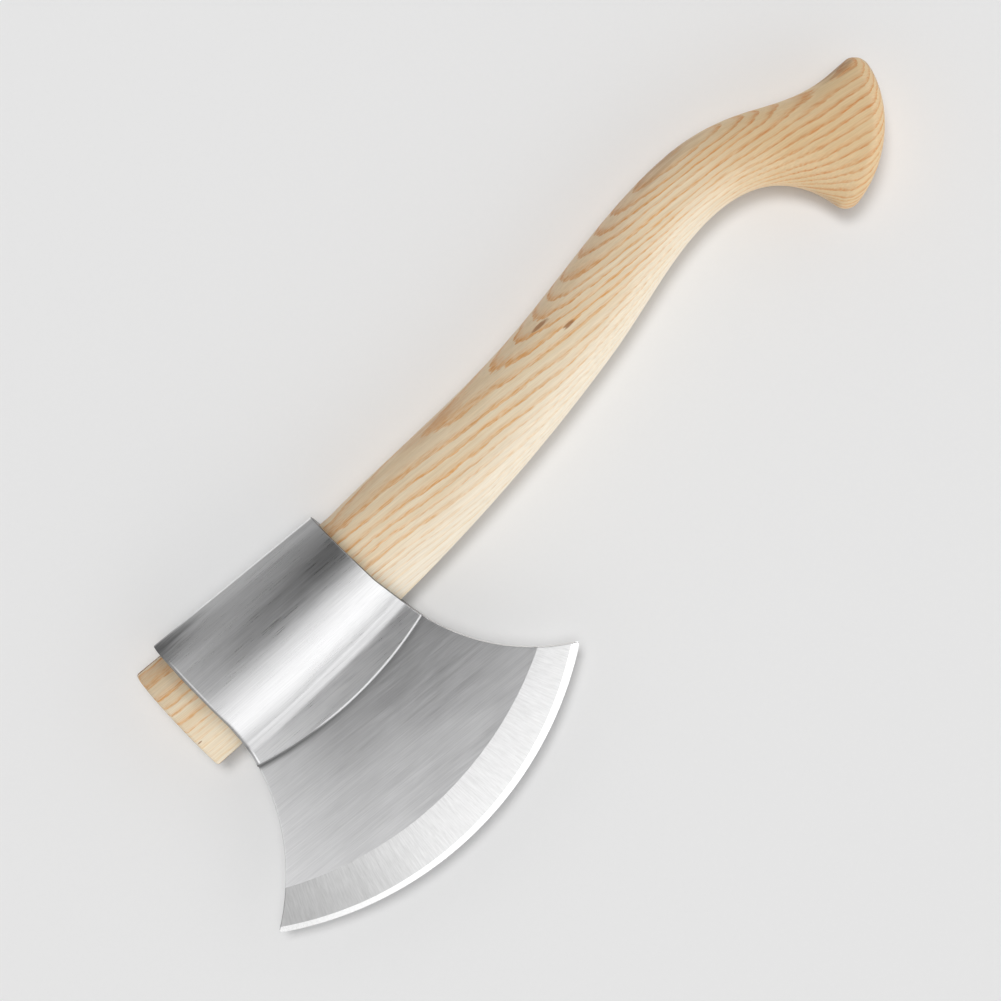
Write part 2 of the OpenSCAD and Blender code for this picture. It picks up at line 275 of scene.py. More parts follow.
class Graph:
    """A node material built by short calls. A socket or a plain number can go in anywhere."""

    def __init__(self, name):
        self.material = bpy.data.materials.new(name)
        self.material.use_nodes = True
        self.tree = self.material.node_tree
        self.tree.nodes.clear()
        self.shader = self.add("ShaderNodeBsdfPrincipled")
        output = self.add("ShaderNodeOutputMaterial")
        self.tree.links.new(self.shader.outputs["BSDF"], output.inputs["Surface"])

    def add(self, kind, **settings):
        node = self.tree.nodes.new(kind)
        for key, value in settings.items():
            setattr(node, key, value)
        return node

    def feed(self, node, key, value):
        socket = node.inputs[key]
        if isinstance(value, bpy.types.NodeSocket):
            self.tree.links.new(value, socket)
        else:
            socket.default_value = value

    def math(self, operation, a, b=0.0):
        node = self.add("ShaderNodeMath", operation=operation)
        self.feed(node, 0, a)
        self.feed(node, 1, b)
        return node.outputs[0]

    def minus(self, a, b):
        return self.math("SUBTRACT", a, b)

    def plus(self, *values):
        total = values[0]
        for value in values[1:]:
            total = self.math("ADD", total, value)
        return total

    def times(self, *values):
        product = values[0]
        for value in values[1:]:
            product = self.math("MULTIPLY", product, value)
        return product

    def past(self, value, start):
        """How far a value is past a start, or 0 before it."""
        return self.math("MAXIMUM", self.minus(value, start), 0.0)

    def vector(self, operation, a, b):
        node = self.add("ShaderNodeVectorMath", operation=operation)
        self.feed(node, 0, a)
        self.feed(node, 1, b)
        return node.outputs["Value" if operation in ("LENGTH", "DOT_PRODUCT") else "Vector"]

    def length(self, vector):
        return self.vector("LENGTH", vector, (0, 0, 0))

    def place_mm(self):
        """The surface's place in millimetres from the eye's middle."""
        place = self.add("ShaderNodeTexCoord").outputs["Object"]
        return self.vector("MULTIPLY", self.vector("SUBTRACT", place, tuple(EYE)), (1 / MM,) * 3)

    def split(self, vector):
        node = self.add("ShaderNodeSeparateXYZ")
        self.feed(node, 0, vector)
        return node.outputs[0], node.outputs[1], node.outputs[2]

    def join(self, x, y, z):
        node = self.add("ShaderNodeCombineXYZ")
        for i, value in enumerate((x, y, z)):
            self.feed(node, i, value)
        return node.outputs[0]

    def noise(self, vector, size, detail=2.0, roughness=0.5, shift=0.0):
        """Noise from 0 to 1 whose features measure size, one length for each axis."""
        scaled = self.vector("MULTIPLY", vector, tuple(1 / s for s in size))
        node = self.add("ShaderNodeTexNoise", noise_dimensions="3D")
        self.feed(node, "Vector", self.vector("ADD", scaled, (shift,) * 3))
        self.feed(node, "Scale", 1.0)
        self.feed(node, "Detail", detail)
        self.feed(node, "Roughness", roughness)
        return node.outputs["Fac"]

    def centred(self, value, amount):
        """A 0 to 1 value as one that runs half the amount to each side of zero."""
        return self.times(self.minus(value, 0.5), amount)

    def span(self, value, low, high, to_low=0.0, to_high=1.0, smoothed=True):
        """A value mapped from one range to another, and held at its ends."""
        kind = "SMOOTHSTEP" if smoothed else "LINEAR"
        node = self.add("ShaderNodeMapRange", interpolation_type=kind)
        for key, number in zip(range(5), (value, low, high, to_low, to_high)):
            self.feed(node, key, number)
        return node.outputs[0]

    def ramp(self, value, stops):
        """Grey levels at places along a value."""
        node = self.add("ShaderNodeValToRGB")
        self.feed(node, 0, value)
        while len(node.color_ramp.elements) < len(stops):
            node.color_ramp.elements.new(0.5)
        for element, (place, level) in zip(node.color_ramp.elements, stops):
            element.position = place
            element.color = (level, level, level, 1)
        return node.outputs[0]

    def levels(self, value, stops):
        """Levels at places from the first stop's to the last one's, which can go over 1."""
        low, high = stops[0][0], stops[-1][0]
        top = max(level for _, level in stops)
        share = [((place - low) / (high - low), level / top) for place, level in stops]
        grey = self.ramp(self.span(value, low, high, smoothed=False), share)
        return self.times(self.split(grey)[0], top)

    def reach(self, place, centre, half):
        """Distance from a patch's middle, where 1 is at its half sizes."""
        return self.length(self.vector("DIVIDE", self.vector("SUBTRACT", place, centre), half))

    def facing(self, way):
        """How far the surface faces one way, from -1 to 1."""
        normal = self.add("ShaderNodeNewGeometry").outputs["Normal"]
        return self.vector("DOT_PRODUCT", normal, way)

    def blend(self, amount, a, b, kind="MIX"):
        node = self.add("ShaderNodeMix", data_type="RGBA", blend_type=kind)
        self.feed(node, 0, amount)
        self.feed(node, 6, a if isinstance(a, bpy.types.NodeSocket) else (*a, 1))
        self.feed(node, 7, b if isinstance(b, bpy.types.NodeSocket) else (*b, 1))
        return node.outputs[2]

    def dim(self, colour, level):
        """The colour times a grey level."""
        return self.blend(1.0, colour, self.join(level, level, level), "MULTIPLY")

    def bump(self, height, depth, normal=None):
        """The normal of a surface raised by depth millimetres times a 0 to 1 height."""
        node = self.add("ShaderNodeBump")
        self.feed(node, "Height", height)
        self.feed(node, "Strength", 1.0)
        self.feed(node, "Distance", depth * MM)
        if normal is not None:
            self.feed(node, "Normal", normal)
        return node.outputs[0]

    def surface(self, colour, roughness, normal=None, **uniform):
        self.feed(self.shader, "Base Color", colour)
        self.feed(self.shader, "Roughness", roughness)
        if normal is not None:
            self.feed(self.shader, "Normal", normal)
        for key, value in uniform.items():
            self.shader.inputs[key.replace("_", " ")].default_value = value
        return self.material


# ----------------------------------------
# Wood
# ----------------------------------------

RING_TILT = math.radians(36)  # the growth rings' normal leans from +Z towards +Y
RING_R = 110.0  # distance from the pith to the eye's middle
RING_W = 2.3  # mean width of a growth ring
RING_RUN = 0.030  # slope of the rings along the handle
CLOSE_RINGS_Y, CLOSE_RINGS = 24.0, 0.0040  # past this the rings lie closer together
KNOB_TURN_X, KNOB_TURN = 215.0, 0.00052  # from here the fibres turn down into the knob
KNOB_TINT_X = (228.0, 286.0)  # where the grip's colours pass into the knob's

# Waviness of the rings, slow, quick and hairy: size of a wave in mm, detail, shift and amount in mm.
RING_WAVES = (
    ((95, 26, 26), 1.0, 0.0, 3.6),
    ((15, 5.0, 5.0), 2.0, 7.3, 1.2),
    ((5.0, 0.8, 0.8), 2.0, 3.1, 0.75),
)

# How strongly a ring shows its early wood, from its start to its end.
EARLY_WOOD = ((0.0, 0.0), (0.05, 0.95), (0.18, 1.0), (0.32, 0.5), (0.52, 0.12), (1.0, 0.0))

CREAM, STRAW, PALE = (0.86, 0.735, 0.54), (0.79, 0.62, 0.40), (0.93, 0.86, 0.74)
WARM, TAN, YELLOW = (0.77, 0.57, 0.36), (0.72, 0.515, 0.27), (0.84, 0.62, 0.30)
ORANGE, RUST, BROWN = (0.79, 0.38, 0.10), (0.62, 0.24, 0.065), (0.36, 0.16, 0.06)

# Small brown flecks on the wood: place in mm from the eye, and half sizes.
FLECKS = (
    ((163.5, 24.6, 11.5), (4.6, 0.9, 6.0)),
    ((172.6, 17.3, 13.0), (3.2, 0.8, 6.0)),
    ((-47.0, -12.6, 9.0), (1.2, 0.35, 6.0)),
)

# Browner patches at the back of the grip and of the knob: place, half sizes, amount and colour. The first,
# at the hump's back edge, and the last, at the knob's upper corner, are painted shade; the middle one is a
# reddish stain.
PATCHES_STAIN_AND_SHADE = (
    ((242.0, 46.0, 2.0), (36.0, 9.0, 14.0), 0.75, (0.42, 0.21, 0.075)),
    ((106.0, 23.0, 8.0), (20.0, 3.5, 10.0), 0.45, (0.62, 0.31, 0.13)),
    ((322.0, 26.5, 6.0), (13.0, 5.0, 16.0), 0.9, (0.30, 0.15, 0.06)),
)


def ash_material():
    g = Graph("ash")
    place = g.place_mm()
    x, y, z = g.split(place)
    past = g.past(x, KNOB_TURN_X)
    turn = g.times(past, past, KNOB_TURN)
    drift = g.plus(g.times(x, RING_RUN), turn)
    bent = g.join(x, g.plus(y, drift), z)

    # Distance from the pith, and from it the ring's number and the place within the ring.
    pith = (-RING_R * math.sin(RING_TILT), -RING_R * math.cos(RING_TILT))
    _, bent_y, bent_z = g.split(bent)
    out = g.join(0.0, g.minus(bent_y, pith[0]), g.minus(bent_z, pith[1]))
    slow, quick, hairy = (
        g.centred(g.noise(bent, size, detail, shift=shift), amount)
        for size, detail, shift, amount in RING_WAVES
    )
    r = g.plus(g.length(out), slow, g.plus(quick, hairy))
    uneven = g.centred(g.noise(g.join(0.0, r, 0.0), (9, 6.5, 9), 1.0, shift=1.7), 1.5)
    outer = g.past(bent_y, CLOSE_RINGS_Y)
    year = g.plus(g.math("DIVIDE", r, RING_W), uneven, g.times(outer, outer, CLOSE_RINGS))
    phase = g.math("FRACT", year)
    number = g.math("FLOOR", year)
    early = g.split(g.ramp(phase, EARLY_WOOD))[0]
    strength = g.noise(g.join(number, 0.0, 0.0), (0.37, 1, 1), 0.0, shift=4.4)
    strength = g.span(strength, 0.3, 0.7, 0.68, 1.0)

    # Place across the handle, from -1 at the belly to 1 at the back.
    held = g.math("MINIMUM", g.math("MAXIMUM", x, TONGUE_END_X), HUMP_X)
    squared, straight, level = MIDDLE_FIT
    middle = g.plus(g.times(held, held, squared), g.times(held, straight), level)
    across = g.math("DIVIDE", g.minus(y, middle), HALF_FIT)
    knob = g.span(x, *KNOB_TINT_X)
    # The belly side is paler, partly as sapwood and partly as painted sheen; the back side is warmer and
    # darker as painted shade.
    belly_sapwood_and_sheen = g.times(g.span(across, -0.95, 0.0, 1.0, 0.0), g.minus(1.0, knob))
    back_painted_shade = g.span(across, 0.15, 0.95)

    # Fibres, and the open pores of the early wood.
    fibre = g.noise(bent, (22, 0.5, 0.5), 3.0, 0.6, shift=11.0)
    streak = g.noise(bent, (60, 2.2, 2.2), 2.0, shift=5.0)
    dash = g.noise(bent, (4.4, 0.42, 0.42), 2.0, 0.55, shift=2.0)
    pores = g.times(g.span(dash, 0.52, 0.66), early)
    broken = g.span(g.noise(bent, (13, 1.3, 1.3), 2.0, shift=9.0), 0.3, 0.58, 0.62, 1.0)
    # The pores and bands fade at the belly under the painted sheen.
    fade = g.minus(1.0, g.times(belly_sapwood_and_sheen, 0.55))
    pores = g.times(pores, fade)
    band = g.times(early, strength, broken, fade, g.span(dash, 0.34, 0.6, 0.52, 1.0))

    # Pale at the belly, partly sapwood and partly painted sheen; warm at the back as painted shade; tan at
    # the knob; with the lines a shade darker, rust at the back with the painted shade and yellow at the
    # belly with the painted sheen.
    colour = g.blend(g.span(streak, 0.3, 0.72, 0.0, 0.75), CREAM, STRAW)
    colour = g.blend(g.times(belly_sapwood_and_sheen, g.span(x, -45.0, 70.0, 0.25, 0.7)), colour, PALE)
    colour = g.blend(g.times(back_painted_shade, g.span(x, 60.0, 230.0, 0.25, 0.8)), colour, WARM)
    colour = g.blend(g.times(knob, 0.8), colour, TAN)
    deep = g.math("MAXIMUM", back_painted_shade, knob)
    line = g.blend(g.times(deep, g.span(x, 100.0, 220.0, 0.2, 0.8)), ORANGE, RUST)
    line = g.blend(g.times(belly_sapwood_and_sheen, 0.85), line, YELLOW)
    colour = g.blend(g.times(band, 0.97), colour, line)
    colour = g.blend(g.times(pores, 0.34), colour, RUST)
    colour = g.dim(colour, g.span(fibre, 0.25, 0.75, 0.90, 1.07, smoothed=False))

    # Browner patches at the back, painted shade and a stain, and small flecks.
    for centre, half, amount, tint in PATCHES_STAIN_AND_SHADE:
        ragged = g.centred(g.noise(bent, (16, 2, 2), 3.0, shift=47.0), 1.3)
        off = g.plus(g.reach(place, centre, half), ragged)
        colour = g.blend(g.span(off, 0.1, 1.2, amount, 0.0), colour, tint)
    for centre, half in FLECKS:
        off = g.plus(g.reach(place, centre, half), g.centred(dash, 1.3))
        colour = g.blend(g.span(off, 0.55, 1.15, 0.85, 0.0), colour, BROWN)

    # End grain takes up more oil and looks darker.
    end = g.math("ABSOLUTE", g.facing((1, 0, 0)))
    colour = g.dim(colour, g.span(end, 0.75, 0.99, 1.0, 0.76))

    height = g.minus(g.times(fibre, 0.3), g.times(pores, 0.8))
    rough = g.span(fibre, 0.2, 0.8, 0.36, 0.5, smoothed=False)
    rough = g.plus(rough, g.times(pores, 0.2))
    return g.surface(colour, rough, g.bump(height, 0.05), Specular_IOR_Level=0.55)


def wedge_wood_material():
    g = Graph("wedge_wood")
    place = g.place_mm()
    fibre = g.noise(place, (22, 0.5, 0.5), 3.0, 0.6, shift=21.0)
    band = g.noise(place, (70, 3.0, 1.1), 2.0, shift=23.0)
    pores = g.span(g.noise(place, (3.0, 0.3, 0.3), 2.0, shift=25.0), 0.58, 0.7)
    colour = g.blend(g.span(band, 0.3, 0.7), (0.40, 0.21, 0.095), (0.26, 0.12, 0.05))
    colour = g.dim(colour, g.span(fibre, 0.2, 0.8, 0.85, 1.1, smoothed=False))
    colour = g.blend(g.times(pores, 0.6), colour, (0.1, 0.045, 0.02))
    height = g.minus(fibre, pores)
    return g.surface(colour, g.span(fibre, 0.2, 0.8, 0.5, 0.66), g.bump(height, 0.06))


# ----------------------------------------
# Steel
# ----------------------------------------

STEEL, WHITE = (0.66, 0.66, 0.665), (1.0, 1.0, 1.0)
CHEEK_SLOPE = -0.035  # of the brushing on the cheeks
BRUSH_ANISOTROPY, BRUSH_DEPTH = 0.5, 0.004

# Painted light as tones. Across the crease, by the height over it: a painted highlight on the lap and
# painted shade dimming the crease's own highlight. At the lap's end, by the distance in from it: painted
# shade at the toe side and a painted highlight at the heel side.
CREASE_PAINTED_LIGHT = ((-2.0, 1.45), (-0.3, 1.42), (1.5, 1.15), (3.6, 0.72), (5.2, 0.88), (7.5, 0.96), (12.0, 0.95))
LAP_END_PAINTED_SHADE = ((0.0, 0.25), (0.55, 0.3), (1.0, 0.85), (1.6, 1.0))
LAP_END_PAINTED_HIGHLIGHT = ((0.0, 0.35), (0.3, 0.5), (0.5, 1.25), (0.9, 1.3), (1.3, 1.0), (1.6, 1.0))

# Painted shade in patches on the sleeve, dark reflections painted in: place in mm from the eye, and half
# sizes.
CORNER_PAINTED_SHADE = ((-38.0, 29.5, 6.0), (27.0, 10.5, 30.0))
HEEL_PAINTED_SHADE = ((47.0, 15.0, 6.0), (46.0, 22.0, 30.0))


def brushed(g, lines, place, tint, rough, contrast=1.0, line_w=0.45):
    """Brushed steel: lines holds coordinates in mm, with the first one along the brushing."""
    fine = g.noise(lines, (20, line_w, line_w), 3.0, 0.7, shift=31.0)
    broad = g.noise(lines, (45, 1.5, 1.5), 2.0, 0.6, shift=33.0)
    cloud = g.noise(place, (24, 13, 13), 3.0, 0.55, shift=37.0)
    streaks = g.plus(g.centred(fine, 0.50 * contrast), g.centred(broad, 0.10 * contrast))
    colour = g.dim(g.join(*tint), g.plus(streaks, g.centred(cloud, 0.14), 1.0))
    roughness = g.plus(rough, g.centred(fine, 0.16), g.centred(cloud, 0.08))
    height = g.plus(fine, g.times(broad, 0.6))
    return colour, roughness, height


def finish_steel(g, colour, roughness, height, tangent, anisotropy, bump):
    g.feed(g.shader, "Tangent", tangent)
    return g.surface(
        colour,
        roughness,
        g.bump(height, bump),
        Metallic=1.0,
        Anisotropic=anisotropy,
        Anisotropic_Rotation=0.25,
    )


def from_centre(g, x, y, centre):
    """The offsets from a centre, and the distance."""
    dx, dy = g.minus(x, float(centre[0])), g.minus(y, float(centre[1]))
    return dx, dy, g.length(g.join(dx, dy, 0.0))


def from_lap_end(g, x, y):
    """Distance in from the lap's end, below zero on the blade beyond it."""
    return g.minus(LAP_R, from_centre(g, x, y, LAP_C)[2])


def sleeve_material():
    """Steel brushed along the handle, with a painted highlight along the crease and painted shade towards
    the poll.
    """
    g = Graph("sleeve_steel")
    place = g.place_mm()
    x, y, _ = g.split(place)
    colour, roughness, height = brushed(g, place, place, STEEL, 0.30)

    # Painted light across the crease, from the lap up onto the flank.
    past = g.minus(x, CREASE_X)
    line = g.plus(g.times(past, past, CREASE_CURVE), CREASE_Y)
    above = g.minus(y, line)
    tone = g.levels(above, CREASE_PAINTED_LIGHT)

    # Painted shade on the lap's chamfered end at the toe side, and a painted highlight on it at the heel
    # side.
    into = from_lap_end(g, x, y)
    end_shade, end_highlight = g.levels(into, LAP_END_PAINTED_SHADE), g.levels(into, LAP_END_PAINTED_HIGHLIGHT)
    side = g.span(x, -14.0, 8.0)
    tone = g.times(tone, g.plus(end_shade, g.times(g.minus(end_highlight, end_shade), side)))

    # Painted shade towards the poll, with a dark corner at the toe side and a dimmer patch by the heel.
    waver = g.centred(g.noise(place, (26, 2.2, 2.2), 3.0, 0.6, shift=45.0), 1.1)
    corner = g.plus(g.reach(place, *CORNER_PAINTED_SHADE), waver)
    heel = g.plus(g.reach(place, *HEEL_PAINTED_SHADE), waver)
    tone = g.times(tone, g.span(corner, 0.1, 1.25, 0.17, 1.0), g.span(heel, 0.2, 1.15, 0.75, 1.0))

    # Painted shade at the back, with a painted highlight in a thin line where the sheet turns away.
    painted_glint = g.span(g.facing((0, 1, 0)), 0.94, 0.972, 1.0, 2.6)
    tone = g.times(tone, g.span(y, 19.0, 27.0, 1.0, 0.78), painted_glint)

    # Painted shade on the mouths, darker than the faces beside them.
    run = g.facing((1, 0, 0))
    tone = g.times(tone, g.span(run, 0.25, 0.7, 1.0, 0.30), g.span(run, -0.6, -0.15, 0.62, 1.0))
    colour = g.dim(colour, tone)
    return finish_steel(g, colour, roughness, height, g.join(1.0, 0.0, 0.0), BRUSH_ANISOTROPY, BRUSH_DEPTH)


def cheek_material():
    """Steel brushed almost along the handle, brightened as painted reflection, and darker close under the
    lap as a painted shadow.
    """
    g = Graph("cheek_steel")
    place = g.place_mm()
    x, y, z = g.split(place)
    lines = g.join(x, g.minus(y, g.times(x, CHEEK_SLOPE)), z)
    colour, roughness, height = brushed(g, lines, place, STEEL, 0.34, 0.8)
    # Painted reflection: brighter evenly at the toe side, and more towards the edge at the heel side.
    toe_painted_light, heel_painted_light = 1.18, g.span(y, -38.0, -82.0, 0.94, 1.29)
    side = g.span(x, -36.0, 2.0)
    tone = g.plus(g.times(g.minus(heel_painted_light, toe_painted_light), side), toe_painted_light)
    # Painted shadow on the blade close under the lap's end, darkest at the toe side.
    beyond = g.times(from_lap_end(g, x, y), -1.0)
    under = g.span(beyond, 0.0, 2.6, g.span(x, -36.0, 16.0, 0.28, 0.70), 1.0)
    colour = g.dim(colour, g.times(tone, under))
    along = g.join(1.0, CHEEK_SLOPE, 0.0)
    return finish_steel(g, colour, roughness, height, along, BRUSH_ANISOTROPY, BRUSH_DEPTH)


def ground_material(name, centre, toe_painted_light, heel_painted_light, rough, anisotropy, bump, contrast):
    """Steel ground square to the cutting edge: the lines run out from a centre. Its tone from the toe to the
    heel is painted reflection.
    """
    g = Graph(name)
    place = g.place_mm()
    x, y, z = g.split(place)
    dx, dy, r = from_centre(g, x, y, centre)
    turn = g.times(g.math("ARCTAN2", dx, dy), EDGE_R)
    lines = g.join(r, turn, z)
    colour, roughness, height = brushed(g, lines, place, WHITE, rough, contrast, 0.6)
    # Painted reflection: darker at the toe side, brighter at the heel side.
    colour = g.dim(colour, g.span(x, -70.0, 14.0, toe_painted_light, heel_painted_light))
    return finish_steel(g, colour, roughness, height, g.join(dx, dy, 0.0), anisotropy, bump)


def dull_steel_material():
    g = Graph("wedge_steel")
    place = g.place_mm()
    blotch = g.noise(place, (3, 3, 3), 3.0, 0.6, shift=41.0)
    dent = g.noise(place, (1.2, 1.2, 1.2), 2.0, shift=43.0)
    colour = g.blend(g.span(blotch, 0.3, 0.7), (0.34, 0.33, 0.32), (0.17, 0.15, 0.135))
    return g.surface(colour, g.span(blotch, 0.3, 0.7, 0.42, 0.62), g.bump(dent, 0.12), Metallic=1.0)


wedge_wood = wedge_wood_material()
wedge_steel = dull_steel_material()
sleeve_steel = sleeve_material()
cheek_steel = cheek_material()
bevel_steel = ground_material(
    "bevel_steel", BEVEL_C, toe_painted_light=0.50, heel_painted_light=0.86,
    rough=0.32, anisotropy=0.4, bump=0.003, contrast=1.0,
)
hone_steel = ground_material(
    "hone_steel", HONE_C, toe_painted_light=0.93, heel_painted_light=0.95,
    rough=0.2, anisotropy=0.2, bump=0.001, contrast=0.4,
)

# ----------------------------------------
# Eye sleeve: one sheet folded round the tongue, with its two ends lapped onto the blade
# ----------------------------------------


def poll_y(x):
    return POLL_Y + POLL_SLOPE * (x - POLL_X)


def crease_y(x):
    return CREASE_Y + CREASE_CURVE * (x - CREASE_X) ** 2


def apex_y(x):
    return crease_y(x) + CREASE_RUN


def toe_side_x(y):
    return TOE_C[0] + math.sqrt(max(TOE_R**2 - (y - TOE_C[1]) ** 2, 0.0))


def heel_side_x(y):
    return HEEL_C[0] - math.sqrt(max(HEEL_R**2 - (y - HEEL_C[1]) ** 2, 0.0))


def top_mouth_x(y):
    return toe_side_x(y) if y < TOP_MOUTH_Y[0] else float(np.interp(y, TOP_MOUTH_Y, TOP_MOUTH_X))


def low_mouth_x(y):
    return heel_side_x(y) if y < LOW_MOUTH_Y[0] else float(np.interp(y, LOW_MOUTH_Y, LOW_MOUTH_X))


def lap_end_y(x):
    return LAP_C[1] - math.sqrt(LAP_R**2 - (x - LAP_C[0]) ** 2)


def sheet_point(part, t, x, inset):
    """(y, z) on the upper half of the sheet's section at x, inset from its outer face."""
    if part == "lap":
        return mix(lap_end_y(x), crease_y(x), t), LAP_TOP - inset
    if part == "crease":
        return arc_point((crease_y(x), LAP_TOP + CREASE_R), CREASE_R + inset, CREASE_ANG * t - 90)
    if part == "flank":
        centre = (apex_y(x), SLEEVE_HALF_T - FLANK_R)
        return arc_point(centre, FLANK_R - inset, 90 + CREASE_ANG * (1 - t))
    a = math.radians(90 * t)
    run = poll_y(x) - apex_y(x) - inset
    return apex_y(x) + run * math.sin(a), (SLEEVE_HALF_T - inset) * math.cos(a)


def rim(r, steps):
    """A rounded edge as (distance from the mouth, inset), from the outer face round to the mouth's."""
    turn = [math.radians(90 * i / steps) for i in range(steps + 1)]
    return [(r * (1 - math.sin(a)), r * (1 - math.cos(a))) for a in turn]


LAP_START = LAP_CHAMFER + 0.2  # where the lap's plain part starts
SHEET_COLUMNS = (
    [("lap", t) for t in np.linspace(0, 1, 14)]
    + [("crease", t) for t in np.linspace(0, 1, 15)[1:]]
    + [("flank", t) for t in np.linspace(0, 1, 34)[1:]]
    + [("poll", t) for t in np.linspace(0, 1, 34)[1:]]
)
LENGTH_STEPS = 26
MOUTH_STEPS = 14  # rounds of finding a mouth's x from its y


def top_rim_r(part, t):
    """The top mouth's rounding dies out towards the poll."""
    return mix(TOP_RIM_R, POLL_RIM_R, smooth((t - 0.35) / 0.5)) if part == "poll" else TOP_RIM_R


def sheet_lines(top_r):
    """The sheet's outer line from mouth to mouth and its inner line back, as (share of the length,
    distance in from the top mouth, distance in from the low mouth, inset)."""
    top, low = rim(top_r, 8), rim(LOW_RIM_R, 5)
    inner = rim(INNER_RIM_R, 3)
    along = np.linspace(0, 1, LENGTH_STEPS + 1)[1:-1]
    outer = [(0.0, e, 0.0, i) for e, i in reversed(top)]
    outer += [(0.0, top_r + GUARD, 0.0, 0.0)]
    outer += [(s, top_r, LOW_RIM_R, 0.0) for s in along]
    outer += [(1.0, 0.0, LOW_RIM_R + GUARD, 0.0)]
    outer += [(1.0, 0.0, e, i) for e, i in low]
    back = [(1.0, 0.0, e, SHEET_T - i) for e, i in reversed(inner)]
    back += [(s, INNER_RIM_R, INNER_RIM_R, SHEET_T) for s in along[::-1]]
    back += [(0.0, e, 0.0, SHEET_T - i) for e, i in inner]
    return outer, back


def sheet_ring(part, t, flip, lap_in=None):
    """One loop of the sheet. lap_in is the distance from the lap's end, where it is chamfered."""
    loop = []
    least = 0.0 if lap_in is None else max(0.0, LAP_CHAMFER - lap_in)
    for share, from_top, from_low, inset in sum(sheet_lines(top_rim_r(part, t)), []):
        inset = max(inset, least)

        def place(x):
            if lap_in is not None:
                return lap_end_y(x) + lap_in, LAP_TOP - inset
            y, z = sheet_point(part, t, x, inset)
            return (y + LAP_START * (1 - t), z) if part == "lap" else (y, z)

        ends = []
        for mouth in (top_mouth_x, low_mouth_x):
            x = 0.0
            for _ in range(MOUTH_STEPS):
                x = mouth(place(x)[0])
            ends.append(x)
        x = mix(ends[0] + from_top, ends[1] - from_low, share)
        y, z = place(x)
        loop.append((x, y, -z if flip else z))
    return loop


def make_sleeve():
    columns = [("lap", 0.0, e) for e in (0.0, LAP_CHAMFER, LAP_CHAMFER + 0.1)]
    half = [(part, t, None) for part, t in SHEET_COLUMNS]
    rings = [sheet_ring(p, t, False, e) for p, t, e in columns + half]
    rings += [sheet_ring(p, t, True, e) for p, t, e in reversed(columns + half[:-1])]
    count = len(rings[0])
    points = np.concatenate(rings)
    faces = tube_faces(rings)
    # Each end of the sheet is closed by a ladder of faces between its outer and inner lines.
    outer_n = len(sheet_lines(TOP_RIM_R)[0])
    for base in (0, (len(rings) - 1) * count):
        loop = [base + j for j in range(count)]
        outer, inner = loop[:outer_n], loop[outer_n:][::-1]
        faces += ladder(points, outer, inner)
    return make_object("eye_sleeve_folded", points, faces, [sleeve_steel], sharp=28)


def ladder(points, outer, inner):
    """Faces between two lines of points that run the same way, stepping along whichever lags."""
    faces, i, j = [], 0, 0
    while i < len(outer) - 1 or j < len(inner) - 1:
        ahead_i = points[outer[i + 1]][0] if i < len(outer) - 1 else math.inf
        ahead_j = points[inner[j + 1]][0] if j < len(inner) - 1 else math.inf
        if ahead_i <= ahead_j:
            faces.append([outer[i], outer[i + 1], inner[j]])
            i += 1
        else:
            faces.append([outer[i], inner[j + 1], inner[j]])
            j += 1
    return faces


# ----------------------------------------
# Blade: a plate between arcs, with a wide ground bevel and a narrow honed one
# ----------------------------------------


BLADE_COLUMNS = 70
TOE_SEARCH, HEEL_SEARCH = (-85.0, -25.0), (30.0, 100.0)  # where the blade's two sides lie in x
SIDE_TURN = (90, 66, 44, 22, 0)  # steps round the blade's rounded sides, in degrees
SEAT_STEP = 0.0004  # share of the cheek's width that the step at the seat takes


def low_arc(centre, r):
    return lambda x: centre[1] - math.sqrt(r**2 - (x - centre[0]) ** 2)


def tongue_belly_y(x):
    return BELLY_Y + BELLY_SLOPE * (x + STUB_X)


def blade_rows():
    """Lines across the blade, from inside the sleeve to the cutting edge, as (curve, half thickness)."""
    seat, bevel = low_arc(LAP_C, LAP_R + FIT_GAP), low_arc(BEVEL_C, BEVEL_R)
    hone, edge = low_arc(HONE_C, HONE_R), low_arc(EDGE_C, EDGE_R)

    def between(a, b, t):
        return lambda x: mix(a(x), b(x), t)

    def strip(a, a_half, b, b_half, count, width):
        """Rows from one line to the next, with a guard strip beside each."""
        shares = [GUARD / width] + list(np.linspace(0, 1, count + 1)[1:-1]) + [1 - GUARD / width]
        return [(between(a, b, t), mix(a_half, b_half, t)) for t in shares]

    def top(x):
        return tongue_belly_y(x) - FIT_GAP

    rows = [(top, LAP_Z)]
    rows += [(between(top, seat, t), LAP_Z) for t in (0.25, 0.5, 0.75, 0.99)]
    rows += [(seat, LAP_Z), (between(seat, bevel, SEAT_STEP), BLADE_HALF_T)]
    rows += strip(seat, BLADE_HALF_T, bevel, BLADE_HALF_T, 22, 50.0)
    rows += [(bevel, BLADE_HALF_T)]
    rows += strip(bevel, BLADE_HALF_T, hone, HONE_HALF_T, 12, BEVEL_W - HONE_W)
    rows += [(hone, HONE_HALF_T)]
    rows += strip(hone, HONE_HALF_T, edge, EDGE_HALF_T, 5, HONE_W)
    rows += [(edge, EDGE_HALF_T)]
    return rows


def round_tip(point, centre, normals):
    """Draws a point near a sharp tip in, so that the tip's corner becomes an arc."""
    d = point - centre
    size = np.linalg.norm(d)
    if size < 1e-9:
        return point

    def turn(a, b):
        return a[0] * b[1] - a[1] * b[0]

    first, second = normals
    way = math.copysign(1.0, turn(first, second))
    if way * turn(first, d) < 0 or way * turn(d, second) < 0:
        return point
    return centre + d * max(d @ first, d @ second) / size


